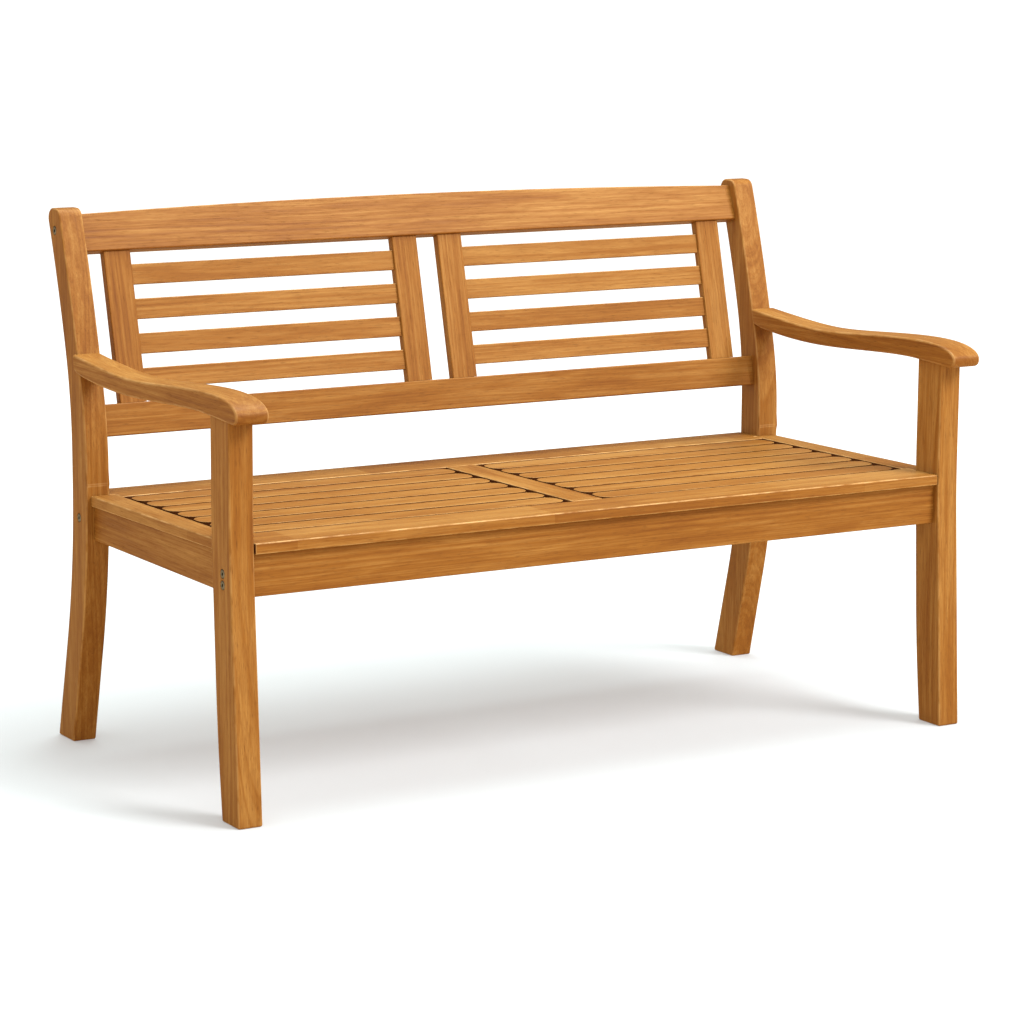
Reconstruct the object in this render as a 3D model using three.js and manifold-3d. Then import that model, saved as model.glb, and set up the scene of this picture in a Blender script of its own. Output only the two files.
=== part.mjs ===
// A slatted hardwood garden bench with armrests, for two to three people.
// Millimetres, +Z up. The sitter faces -Y. The origin is on the ground, under the middle of the bench.
// Every board is its own body. Legs, rails and aprons are joined by mortise and tenon, and the rails
// that carry load are drawn tight with a bolt through the leg into a barrel nut.
import * as THREE from "three";
import { mergeVertices } from "three/addons/utils/BufferGeometryUtils.js";
import Module from "manifold-3d";

const wasm = await Module();
wasm.setup();

// ---------- driving dimensions ----------
const HEIGHT = 819; // ground to the top of the back posts
const LEG_OUTER = 632.7; // middle of the bench to the outer face of a leg
const LEG_THICK = 38; // legs, across the bench
const LEG_INNER = LEG_OUTER - LEG_THICK;
const GAP = 0.3; // clearance between pieces that meet
const EASE = 2; // chamfer on the long edges

// Along Y, distances are from the front face of the front legs.
const FRONT_FOOT = { front: -20.9, rear: 33 }; // the front leg's faces at the ground
const BACK_FOOT = { front: 557.5, rear: 614.5 }; // the back post's faces at the ground

// A leg face is given by its lean (mm back per mm up) at a few heights, with an even bend between them.
const FRONT_LEG_LEAN = {
  front: [[0, 0.055], [330, 0.055], [430, 0], [HEIGHT, 0]],
  rear: [[0, 0.115], [60, 0.105], [200, 0.045], [380, 0.045], [440, 0], [HEIGHT, 0]],
};
const POST_LEAN = {
  front: [[0, -0.238], [150, -0.238], [410, 0], [430, 0], [551, 0.225], [HEIGHT, 0.333]],
  rear: [[0, -0.25], [150, -0.25], [405, 0], [455, 0], [610, 0.24], [HEIGHT, 0.355]],
};
const POST_TOP_ROUND = 16;
const FOOT_EASE = 3;

const ARM_INNER = 588.7; // the arm overhangs the leg a little on both sides
const ARM_OUTER = 640;
const ARM_TAPER = LEG_INNER - ARM_INNER; // the arm's inner edge moves out to the post's face at the rear
const ARM_EASE = 3;

const RAIL_THICK = 22;
const TOP_RAIL = { y: 571.5, z: 754.3, lean: 21.2, height: 59.2, rise: 9.5, tenon: [13, 51] };
const LOW_RAIL = { y: 507.3, z: 479.4, lean: 10.2, height: 49, tenon: [8, 41] };
const RAIL_TENON = { length: 18, front: 5, rear: 17 };
const RAIL_BOLT_UP = 37.9; // height of the top rail's bolts up its face

const PANEL = { y: 521, z: 526.7, lean: 13.7, length: 233.3 }; // front face of the stiles
const STILE = { width: 44.3, thick: 15, inner: 19, outer: 517.1 };
const STILE_TENON = { length: 10, width: 27, front: 4, rear: 11 };
const BACK_SLATS = 4;
const BACK_SLAT = { first: 20.6, pitch: 53.2, height: 31.2, front: 4, rear: 13, housed: 7 };

const SEAT = { y: -1, z: 400.4, slope: 0.733, thick: 16 }; // front top edge of the seat, and its fall
const FRONT_BOARD = { half: 593.6, depth: 80 };
const END_BOARD = { inner: 586, outer: 626, notch: 593.6 };
const DIVIDER_HALF = 26;
const BACK_BOARD = { front: 466, shoulder: 491.8, rear: 547, half: LEG_INNER - GAP };
const SEAT_SLATS = 7;
const SEAT_SLAT = { width: 46.8, gap: 7.4, top: -0.7, bottom: -15, endGap: 6, corner: 19 };
const TONGUE = { top: -6, bottom: -12, length: 8, inset: 13, play: 0.4 };
const GROOVE_RUN = [60, 500];
const PAST_REAR = 700;
const SHOULDER_GAP = 0.6; // clearance where a seat board or side apron meets a leg's curved face

const FRONT_APRON = { front: 10, rear: 34, bottom: 322 };
const BACK_APRON = { front: 510, rear: 532, bottom: 325 };
const SIDE_APRON = { inner: 600, outer: 620, bottom: 325 };
const CENTRE_RAIL = { half: 13, bottom: 325 };
const APRON_TENON = { length: 12, inset: 6, bottom: 332, top: 373 };
const SIDE_TENON = { inner: 605, outer: 615, front: 45, rear: 507, bottom: 335, top: 368 };
const CENTRE_TENON = { half: 6, front: 25, rear: 519, bottom: 337, top: 366 };

const BOLT = { head: 6.5, headThick: 3, shank: 3, hole: 3.4, length: 57, socket: 2.3, socketDeep: 2 };
const COUNTERBORE = { radius: 6.9, deep: 3.2 };
const NUT = { radius: 5, hole: 5.4, length: 12.5, x: 580, railDepth: 13.2 };
const NUT_POCKET = { margin: 0.75, railDepth: 15, railLength: 18 };

// ---------- solids ----------
function solid(geometry) {
  geometry.deleteAttribute("normal");
  geometry.deleteAttribute("uv");
  const merged = mergeVertices(geometry, 1e-4);
  return new wasm.Manifold(
    new wasm.Mesh({
      numProp: 3,
      vertProperties: merged.attributes.position.array,
      triVerts: new Uint32Array(merged.index.array),
    }),
  );
}

function geometryOf(body) {
  const mesh = body.getMesh();
  const geometry = new THREE.BufferGeometry();
  geometry.setAttribute("position", new THREE.BufferAttribute(mesh.vertProperties, 3));
  geometry.setIndex(new THREE.BufferAttribute(mesh.triVerts, 1));
  const flat = geometry.toNonIndexed();
  flat.computeVertexNormals();
  return flat;
}

// A prism of an outline, with its edges chamfered by ease, between depths 0 and depth.
function prism(outline, depth, ease) {
  const options = {
    depth: depth - 2 * ease,
    bevelEnabled: ease > 0,
    bevelThickness: ease,
    bevelSize: ease,
    bevelOffset: -ease,
    bevelSegments: 1,
    curveSegments: 14,
  };
  return new THREE.ExtrudeGeometry(outline, options).translate(0, 0, ease);
}

// A side outline in (y, z), as a solid from x0 to x1.
function sideways(outline, x0, x1, ease = 0) {
  const turn = new THREE.Matrix4().makeBasis(
    new THREE.Vector3(0, 1, 0),
    new THREE.Vector3(0, 0, 1),
    new THREE.Vector3(1, 0, 0),
  );
  return prism(outline, x1 - x0, ease).applyMatrix4(turn).translate(x0, 0, 0);
}

// A plan outline in (x, y), as a solid from z0 to z1.
function upward(outline, z0, z1, ease = 0) {
  return prism(outline, z1 - z0, ease).translate(0, 0, z0);
}

function outlineOf(points) {
  return new THREE.Shape(points.map(([a, b]) => new THREE.Vector2(a, b)));
}

function rectangle(a0, a1, b0, b1) {
  return outlineOf([[a0, b0], [a1, b0], [a1, b1], [a0, b1]]);
}

// A board's cross-section: a rectangle with its corners chamfered by ease.
function easedSection(a0, a1, b0, b1, ease) {
  return outlineOf([
    [a0 + ease, b0], [a1 - ease, b0], [a1, b0 + ease], [a1, b1 - ease],
    [a1 - ease, b1], [a0 + ease, b1], [a0, b1 - ease], [a0, b0 + ease],
  ]);
}

function block(x0, x1, y0, y1, z0, z1) {
  return upward(rectangle(x0, x1, y0, y1), z0, z1);
}

function rodX(radius, x0, x1, y, z, sides = 12) {
  return new THREE.CylinderGeometry(radius, radius, x1 - x0, sides)
    .rotateZ(Math.PI / 2)
    .translate((x0 + x1) / 2, y, z);
}

function rodY(radius, y0, y1, x, z, sides = 12) {
  return new THREE.CylinderGeometry(radius, radius, y1 - y0, sides).translate(x, (y0 + y1) / 2, z);
}

function cut(body, ...tools) {
  return tools.reduce((rest, tool) => rest.subtract(solid(tool)), body);
}

function join(body, ...additions) {
  return additions.reduce((sum, addition) => sum.add(solid(addition)), body);
}

// ---------- leaning frames ----------
// A rail or panel leans back. In its own frame X runs across the bench, Y runs up its face and
// depth n runs back from its front face; this turns such a box or outline into place.
function leaning(frame, geometry, nFront) {
  const angle = THREE.MathUtils.degToRad(frame.lean);
  const up = new THREE.Vector3(0, Math.sin(angle), Math.cos(angle));
  const forward = new THREE.Vector3(0, -Math.cos(angle), Math.sin(angle));
  const turn = new THREE.Matrix4().makeBasis(new THREE.Vector3(1, 0, 0), up, forward);
  const start = new THREE.Vector3(0, frame.y, frame.z).addScaledVector(forward, -nFront);
  return geometry.applyMatrix4(turn.setPosition(start));
}

function leaningBoard(frame, outline, nFront, nRear, ease = 0) {
  return leaning(frame, prism(outline, nRear - nFront, ease), nRear);
}

function leaningBox(frame, x0, x1, s0, s1, nFront, nRear) {
  return leaningBoard(frame, rectangle(x0, x1, s0, s1), nFront, nRear);
}

function leaningPoint(frame, s, n) {
  const angle = THREE.MathUtils.degToRad(frame.lean);
  return {
    y: frame.y + s * Math.sin(angle) + n * Math.cos(angle),
    z: frame.z + s * Math.cos(angle) - n * Math.sin(angle),
  };
}

// ---------- materials ----------
function wood(colour) {
  return new THREE.MeshStandardMaterial({ color: colour, roughness: 0.55, metalness: 0 });
}
const frameWood = () => wood(0xb9753a);
const slatWood = () => wood(0xc98c4c);
const zincSteel = () => new THREE.MeshStandardMaterial({ color: 0x9a9a96, roughness: 0.35, metalness: 1 });

const bench = new THREE.Group();

function place(name, geometry, material, parent = bench) {
  const mesh = new THREE.Mesh(geometry, material);
  mesh.name = name;
  parent.add(mesh);
  return mesh;
}

// One mesh on the right (+X) and its mirror image on the left.
function placePair(name, geometry, makeMaterial, parent = bench) {
  place(`${name}_right`, geometry, makeMaterial(), parent);
  place(`${name}_left`, geometry, makeMaterial(), parent).scale.x = -1;
}

// ---------- legs ----------
// The face's distance back at height z, from its distance at the ground and its lean at a few heights.
function faceY(start, leans, z) {
  let y = start;
  for (let i = 1; i < leans.length; i += 1) {
    const [z0, lean0] = leans[i - 1];
    const [z1, lean1] = leans[i];
    const top = Math.min(z, z1);
    if (top <= z0) break;
    const leanTop = lean0 + ((lean1 - lean0) * (top - z0)) / (z1 - z0);
    y += ((lean0 + leanTop) / 2) * (top - z0);
  }
  return y;
}

function facePoints(start, leans, topZ, step = 30) {
  const heights = new Set([0, topZ]);
  for (let i = 1; i < leans.length; i += 1) {
    const [z0, lean0] = leans[i - 1];
    const [z1, lean1] = leans[i];
    const parts = lean0 === lean1 ? 1 : Math.ceil((z1 - z0) / step);
    for (let k = 0; k <= parts; k += 1) heights.add(z0 + ((z1 - z0) * k) / parts);
  }
  const kept = [...heights].filter((z) => z <= topZ).sort((a, b) => a - b);
  return kept.map((z) => [faceY(start, leans, z), z]);
}

// Replaces an outline's corner with a round of the given radius.
function roundedCorner(before, corner, after, radius, parts) {
  const point = ([a, b]) => new THREE.Vector2(a, b);
  const c = point(corner);
  const toBefore = point(before).sub(c).normalize();
  const toAfter = point(after).sub(c).normalize();
  const half = toBefore.angleTo(toAfter) / 2;
  const start = c.clone().addScaledVector(toBefore, radius / Math.tan(half));
  const end = c.clone().addScaledVector(toAfter, radius / Math.tan(half));
  const middle = toBefore.clone().add(toAfter).normalize();
  const centre = c.clone().addScaledVector(middle, radius / Math.sin(half));
  const from = start.clone().sub(centre);
  const sweep = Math.PI - 2 * half;
  const turn = Math.sign(from.cross(end.clone().sub(centre)));
  const points = [];
  for (let k = 0; k <= parts; k += 1) {
    const spun = from.clone().rotateAround(new THREE.Vector2(), (turn * sweep * k) / parts);
    points.push([centre.x + spun.x, centre.y + spun.y]);
  }
  return points;
}

// The side outline between a front and a rear face, with eased corners at the foot. The top is left
// square unless it is given a round.
function legOutline(frontFace, rearFace, topRound = 0) {
  const rear = [...rearFace].reverse();
  const top = topRound > 0
    ? [
        ...roundedCorner(frontFace.at(-2), frontFace.at(-1), rear[0], topRound, 5),
        ...roundedCorner(frontFace.at(-1), rear[0], rear[1], topRound, 7),
      ]
    : [frontFace.at(-1), rear[0]];
  return outlineOf([
    ...roundedCorner(rear.at(-1), frontFace[0], frontFace[1], FOOT_EASE, 1),
    ...frontFace.slice(1, -1),
    ...top,
    ...rear.slice(1, -1),
    ...roundedCorner(rear.at(-2), rear.at(-1), frontFace[0], FOOT_EASE, 1),
  ]);
}

// ---------- armrests ----------
const UNDERSIDE = { y: 62, z: 577, rise: 0.054 }; // the flat under the front of the arm
const undersideZ = (y) => UNDERSIDE.z + (y - UNDERSIDE.y) * UNDERSIDE.rise;
const ARM_REAR = { topY: 525, topZ: 607, bottomY: 521, bottomZ: 585 }; // before it is cut to the post
const ARM_DIP = { topY: 325, topZ: 594.4, bottomY: 340, bottomZ: 568 }; // its thinnest part
const ARM_SWELL = { y: 56, z: 608 };
const ARM_TENON = { front: 500, rear: 528, x0: 605, x1: 622, z0: 587, z1: 599 };
const LEG_TENON = { front: 14, rear: 43, x0: 605, x1: 622, top: 592 };
const LEG_TOP = 590; // front legs before they are cut to the arm
const NOSE_Y = -38.5;

// The arm dips behind its middle, swells at the front and rolls over into a round nose.
function armOutline() {
  const outline = new THREE.Shape();
  const noseFlat = -27;
  const [dip, swell] = [ARM_DIP, ARM_SWELL];
  outline.moveTo(ARM_REAR.topY, ARM_REAR.topZ);
  outline.bezierCurveTo(440, 600, 385, dip.topZ, dip.topY, dip.topZ);
  outline.bezierCurveTo(255, dip.topZ, 140, swell.z, swell.y, swell.z);
  outline.bezierCurveTo(10, swell.z, NOSE_Y, 603, NOSE_Y, 584);
  outline.bezierCurveTo(NOSE_Y, 577, -34, 573, noseFlat, undersideZ(noseFlat));
  outline.lineTo(UNDERSIDE.y, UNDERSIDE.z);
  outline.bezierCurveTo(130, 580, 250, dip.bottomZ, dip.bottomY, dip.bottomZ);
  outline.bezierCurveTo(400, dip.bottomZ, 440, 571, 480, 575);
  outline.quadraticCurveTo(499, 577, ARM_REAR.bottomY, ARM_REAR.bottomZ);
  return new THREE.Shape(outline.getPoints(7));
}

function armGeometry() {
  const postFace = facePoints(BACK_FOOT.front, POST_LEAN.front, HEIGHT).filter(([, z]) => z > 500);
  const pastPost = outlineOf([
    ...postFace.map(([y, z]) => [y - GAP, z]),
    [PAST_REAR, HEIGHT],
    [PAST_REAR, postFace[0][1]],
  ]);
  const arm = sideways(armOutline(), ARM_INNER, ARM_OUTER, ARM_EASE);
  const position = arm.getAttribute("position");
  const middle = (ARM_INNER + ARM_OUTER) / 2;
  for (let i = 0; i < position.count; i += 1) {
    const back = THREE.MathUtils.smoothstep(position.getY(i), 250, 490);
    if (position.getX(i) < middle) position.setX(i, position.getX(i) + ARM_TAPER * back);
  }
  const t = ARM_TENON;
  const shouldered = cut(solid(arm), sideways(pastPost, ARM_INNER - 5, ARM_OUTER + 5));
  const withTenon = join(shouldered, block(t.x0, t.x1, t.front, t.rear, t.z0, t.z1));
  const m = LEG_TENON;
  return geometryOf(
    cut(withTenon, block(m.x0 - GAP, m.x1 + GAP, m.front - GAP, m.rear + GAP, 560, m.top + GAP)),
  );
}

// ---------- bolts ----------
const railBolt = leaningPoint(TOP_RAIL, RAIL_BOLT_UP, RAIL_THICK / 2);
const BOLTS = [
  { name: "top_rail", y: railBolt.y, z: railBolt.z },
  { name: "back_apron", y: 521, z: 357 },
  { name: "front_apron_upper", y: 24, z: 357 },
  { name: "front_apron_lower", y: 24, z: 341 },
];

function boltHole(y, z) {
  return [
    rodX(BOLT.hole, LEG_INNER - 40, LEG_OUTER + 1, y, z),
    rodX(COUNTERBORE.radius, LEG_OUTER - COUNTERBORE.deep, LEG_OUTER + 1, y, z, 20),
  ];
}

function boltGeometry({ y, z }) {
  const headOut = LEG_OUTER;
  const headIn = headOut - BOLT.headThick;
  const head = solid(rodX(BOLT.head, headIn, headOut, y, z, 20));
  const whole = join(head, rodX(BOLT.shank, headIn - BOLT.length, headIn + 1, y, z));
  return geometryOf(cut(whole, rodX(BOLT.socket, headOut - BOLT.socketDeep, headOut + 1, y, z, 6)));
}

// A barrel nut lies across its bolt.
function nutGeometry({ name, y, z }) {
  if (name === "top_rail") {
    const across = new THREE.CylinderGeometry(NUT.radius, NUT.radius, NUT.length, 16).rotateX(Math.PI / 2);
    const body = leaning(TOP_RAIL, across.translate(NUT.x, RAIL_BOLT_UP, 0), NUT.railDepth);
    return geometryOf(cut(solid(body), rodX(BOLT.hole, NUT.x - 10, NUT.x + 10, y, z)));
  }
  const body = solid(rodY(NUT.radius, y - NUT.length / 2, y + NUT.length / 2, NUT.x, z, 16));
  return geometryOf(cut(body, rodX(BOLT.hole, NUT.x - 10, NUT.x + 10, y, z)));
}

// ---------- tenons, each also used a little larger as its mortise ----------
function railTenon(frame, grow = 0) {
  const { length, front, rear } = RAIL_TENON;
  const [s0, s1] = frame.tenon;
  const end = LEG_INNER + length + grow;
  return leaningBox(frame, LEG_INNER - 10, end, s0 - grow, s1 + grow, front - grow, rear + grow);
}

function apronTenon(apron, grow = 0) {
  const { length, inset, bottom, top } = APRON_TENON;
  const [front, rear] = [apron.front + inset - grow, apron.rear - inset + grow];
  return block(LEG_INNER - 10, LEG_INNER + length + grow, front, rear, bottom - grow, top + grow);
}

function sideTenon(grow = 0) {
  const { inner, outer, front, rear, bottom, top } = SIDE_TENON;
  return block(inner - grow, outer + grow, front - grow, rear + grow, bottom - grow, top + grow);
}

function centreTenon(grow = 0) {
  const { half, front, rear, bottom, top } = CENTRE_TENON;
  return block(-half - grow, half + grow, front - grow, rear + grow, bottom - grow, top + grow);
}

function stileTenon(x0, grow = 0) {
  const inset = (STILE.width - STILE_TENON.width) / 2;
  const { length, front, rear } = STILE_TENON;
  return leaningBox(
    PANEL,
    x0 + inset - grow,
    x0 + STILE.width - inset + grow,
    -length - grow,
    PANEL.length + length + grow,
    front - grow,
    rear + grow,
  );
}

// ---------- the four legs ----------
function addLegs() {
  const postFront = facePoints(BACK_FOOT.front, POST_LEAN.front, HEIGHT);
  const postRear = facePoints(BACK_FOOT.rear, POST_LEAN.rear, HEIGHT);
  const postOutline = legOutline(postFront, postRear, POST_TOP_ROUND);
  const a = ARM_TENON;
  const post = cut(
    solid(sideways(postOutline, LEG_INNER, LEG_OUTER, EASE)),
    railTenon(TOP_RAIL, GAP),
    railTenon(LOW_RAIL, GAP),
    apronTenon(BACK_APRON, GAP),
    sideTenon(GAP),
    block(a.x0 - GAP, a.x1 + GAP, a.front, a.rear + GAP, a.z0 - GAP, a.z1 + GAP),
    ...BOLTS.slice(0, 2).flatMap(({ y, z }) => boltHole(y, z)),
  );
  placePair("back_post", geometryOf(post), frameWood);

  const frontFace = facePoints(FRONT_FOOT.front, FRONT_LEG_LEAN.front, LEG_TOP, 45);
  const rearFace = facePoints(FRONT_FOOT.rear, FRONT_LEG_LEAN.rear, LEG_TOP, 45);
  const [y0, y1] = [-20, 80];
  const insideArm = outlineOf([[y0, undersideZ(y0) - GAP], [y1, undersideZ(y1) - GAP], [y1, 620], [y0, 620]]);
  const m = LEG_TENON;
  const leg = cut(
    solid(sideways(legOutline(frontFace, rearFace), LEG_INNER, LEG_OUTER, EASE)),
    sideways(insideArm, LEG_INNER - 5, LEG_OUTER + 5),
    apronTenon(FRONT_APRON, GAP),
    sideTenon(GAP),
    ...BOLTS.slice(2).flatMap(({ y, z }) => boltHole(y, z)),
  );
  const withTenon = join(leg, block(m.x0, m.x1, m.front, m.rear, 560, m.top));
  placePair("front_leg", geometryOf(withTenon), frameWood);
}

function addArms() {
  placePair("armrest", armGeometry(), frameWood);
}

function addBolts() {
  for (const bolt of BOLTS) {
    placePair(`bolt_${bolt.name}`, boltGeometry(bolt), zincSteel);
    placePair(`barrel_nut_${bolt.name}`, nutGeometry(bolt), zincSteel);
  }
}

// ---------- backrest ----------
const stileStarts = [
  ["outer_left", -STILE.outer - STILE.width],
  ["inner_left", -STILE.inner - STILE.width],
  ["inner_right", STILE.inner],
  ["outer_right", STILE.outer],
];

// Both ends of a rail get the same treatment, so a tool made for +X is used again mirrored.
function bothEnds(geometry) {
  const mirrored = geometry.clone().scale(-1, 1, 1);
  const index = mirrored.index ? mirrored.toNonIndexed() : mirrored;
  const position = index.getAttribute("position");
  for (let i = 0; i < position.count; i += 3) {
    const a = new THREE.Vector3().fromBufferAttribute(position, i);
    const b = new THREE.Vector3().fromBufferAttribute(position, i + 1);
    position.setXYZ(i, b.x, b.y, b.z);
    position.setXYZ(i + 1, a.x, a.y, a.z);
  }
  return [geometry, index];
}

function addRails() {
  const long = LEG_INNER + 10;
  const pastLeg = bothEnds(block(LEG_INNER - GAP, long + 5, 450, 650, 450, 850));
  const arched = outlineOf([[-long, 0], [long, 0], [long, TOP_RAIL.height]]);
  arched.quadraticCurveTo(0, TOP_RAIL.height + 2 * TOP_RAIL.rise, -long, TOP_RAIL.height);
  const nutPocket = new THREE.CylinderGeometry(NUT.hole, NUT.hole, NUT_POCKET.railLength, 16)
    .rotateX(Math.PI / 2)
    .translate(NUT.x, RAIL_BOLT_UP, 0);
  const topBoard = solid(leaningBoard(TOP_RAIL, arched, 0, RAIL_THICK, EASE));
  const topRail = cut(
    join(cut(topBoard, ...pastLeg), ...bothEnds(railTenon(TOP_RAIL))),
    ...bothEnds(rodX(BOLT.hole, LEG_INNER - 30, LEG_INNER + 30, railBolt.y, railBolt.z)),
    ...bothEnds(leaning(TOP_RAIL, nutPocket, NUT_POCKET.railDepth)),
    ...stileStarts.map(([, x0]) => stileTenon(x0, GAP)),
  );
  place("top_rail", geometryOf(topRail), frameWood());

  const straight = rectangle(-long, long, 0, LOW_RAIL.height);
  const lowBoard = solid(leaningBoard(LOW_RAIL, straight, 0, RAIL_THICK, EASE));
  const lowRail = cut(
    join(cut(lowBoard, ...pastLeg), ...bothEnds(railTenon(LOW_RAIL))),
    ...stileStarts.map(([, x0]) => stileTenon(x0, GAP)),
  );
  place("lower_back_rail", geometryOf(lowRail), frameWood());
}

const backSlatStart = (i) => BACK_SLAT.first + i * BACK_SLAT.pitch;

function addStiles() {
  const tall = PANEL.length + 40;
  const aboveTopRail = leaningBox(TOP_RAIL, -700, 700, -GAP, 120, -30, 60);
  const belowLowRail = leaningBox(LOW_RAIL, -700, 700, -120, LOW_RAIL.height + GAP, -30, 60);
  for (const [name, x0] of stileStarts) {
    const board = rectangle(x0, x0 + STILE.width, -20, tall - 20);
    const trimmed = cut(solid(leaningBoard(PANEL, board, 0, STILE.thick, 1.5)), aboveTopRail, belowLowRail);
    const slatSide = name === "outer_left" || name === "inner_right" ? x0 + STILE.width : x0;
    const housings = [];
    for (let i = 0; i < BACK_SLATS; i += 1) {
      const s0 = backSlatStart(i);
      housings.push(
        leaningBox(
          PANEL,
          slatSide - BACK_SLAT.housed - GAP,
          slatSide + BACK_SLAT.housed + GAP,
          s0 - GAP,
          s0 + BACK_SLAT.height + GAP,
          BACK_SLAT.front - GAP,
          BACK_SLAT.rear + GAP,
        ),
      );
    }
    place(`stile_${name}`, geometryOf(cut(join(trimmed, stileTenon(x0)), ...housings)), frameWood());
  }
}

function addBackSlats() {
  const x0 = STILE.inner + STILE.width - BACK_SLAT.housed;
  const x1 = STILE.outer + BACK_SLAT.housed;
  for (const side of [-1, 1]) {
    for (let i = 0; i < BACK_SLATS; i += 1) {
      const s0 = backSlatStart(i);
      const across = side > 0 ? [x0, x1] : [-x1, -x0];
      const outline = rectangle(...across, s0, s0 + BACK_SLAT.height);
      const slat = leaningBoard(PANEL, outline, BACK_SLAT.front, BACK_SLAT.rear, 1);
      place(`back_slat_${side > 0 ? "right" : "left"}_${i + 1}`, geometryOf(solid(slat)), slatWood());
    }
  }
}

// ---------- seat ----------
const seatTop = (y) => SEAT.z - (y - SEAT.y) * Math.tan(THREE.MathUtils.degToRad(SEAT.slope));
const seatUnderside = (y) => seatTop(y) - SEAT.thick - GAP;
const legRearAt = (z) => faceY(FRONT_FOOT.rear, FRONT_LEG_LEAN.rear, z) + SHOULDER_GAP;
const postFrontAt = (z) => faceY(BACK_FOOT.front, POST_LEAN.front, z) - SHOULDER_GAP;

// A slat's outline, with its corners rounded.
function slatOutline(x0, x1, y0, y1) {
  const corners = [[x0, y0], [x1, y0], [x1, y1], [x0, y1]];
  const points = corners.flatMap((corner, i) =>
    roundedCorner(corners.at(i - 1), corner, corners[(i + 1) % corners.length], SEAT_SLAT.corner, 2));
  return outlineOf(points);
}

// The seat is one flat frame of boards that falls slightly to the rear. In its own frame Y is the
// distance back from its front edge and Z = 0 is the top of the boards.
function addSeat() {
  const seat = new THREE.Group();
  seat.position.set(0, SEAT.y, SEAT.z);
  seat.rotation.x = -THREE.MathUtils.degToRad(SEAT.slope);
  bench.add(seat);
  const boardBottom = -SEAT.thick;
  const rearOfFront = FRONT_BOARD.depth + GAP;

  const front = rectangle(-FRONT_BOARD.half, FRONT_BOARD.half, 0, FRONT_BOARD.depth);
  place("seat_front_board", geometryOf(solid(upward(front, boardBottom, 0, EASE))), frameWood(), seat);

  const b = BACK_BOARD;
  const neck = END_BOARD.inner - GAP;
  const back = outlineOf([
    [-neck, b.front], [neck, b.front], [neck, b.shoulder], [b.half, b.shoulder],
    [b.half, b.rear], [-b.half, b.rear], [-b.half, b.shoulder], [-neck, b.shoulder],
  ]);
  place("seat_back_board", geometryOf(solid(upward(back, boardBottom, 0, EASE))), frameWood(), seat);

  const legRear = legRearAt(SEAT.z) - SEAT.y;
  const postFront = postFrontAt(seatTop(BACK_BOARD.shoulder)) - SEAT.y;
  const end = outlineOf([
    [END_BOARD.inner, rearOfFront], [END_BOARD.notch, rearOfFront], [END_BOARD.notch, legRear],
    [END_BOARD.outer, legRear], [END_BOARD.outer, postFront], [END_BOARD.inner, postFront],
  ]);
  const groove = (edge) => {
    const reach = TONGUE.length + TONGUE.play;
    return block(edge - reach, edge + reach, ...GROOVE_RUN, TONGUE.bottom - GAP, TONGUE.top + GAP);
  };
  const endBoard = cut(solid(upward(end, boardBottom, 0, EASE)), groove(END_BOARD.inner));
  placePair("seat_end_board", geometryOf(endBoard), frameWood, seat);

  const middle = rectangle(-DIVIDER_HALF, DIVIDER_HALF, rearOfFront, BACK_BOARD.front - GAP);
  const divider = cut(
    solid(upward(middle, boardBottom, 0, EASE)),
    groove(DIVIDER_HALF),
    groove(-DIVIDER_HALF),
  );
  place("seat_centre_board", geometryOf(divider), frameWood(), seat);

  const x0 = DIVIDER_HALF + SEAT_SLAT.endGap;
  const x1 = END_BOARD.inner - SEAT_SLAT.endGap;
  const tongueX0 = DIVIDER_HALF - TONGUE.length;
  const tongueX1 = END_BOARD.inner + TONGUE.length;
  for (let i = 0; i < SEAT_SLATS; i += 1) {
    const y0 = FRONT_BOARD.depth + SEAT_SLAT.gap + i * (SEAT_SLAT.width + SEAT_SLAT.gap);
    const y1 = y0 + SEAT_SLAT.width;
    const board = upward(slatOutline(x0, x1, y0, y1), SEAT_SLAT.bottom, SEAT_SLAT.top, 1.5);
    const [front, rear] = [y0 + TONGUE.inset, y1 - TONGUE.inset];
    const tongue = block(tongueX0, tongueX1, front, rear, TONGUE.bottom, TONGUE.top);
    placePair(`seat_slat_${i + 1}`, geometryOf(join(solid(board), tongue)), slatWood, seat);
  }
}

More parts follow.
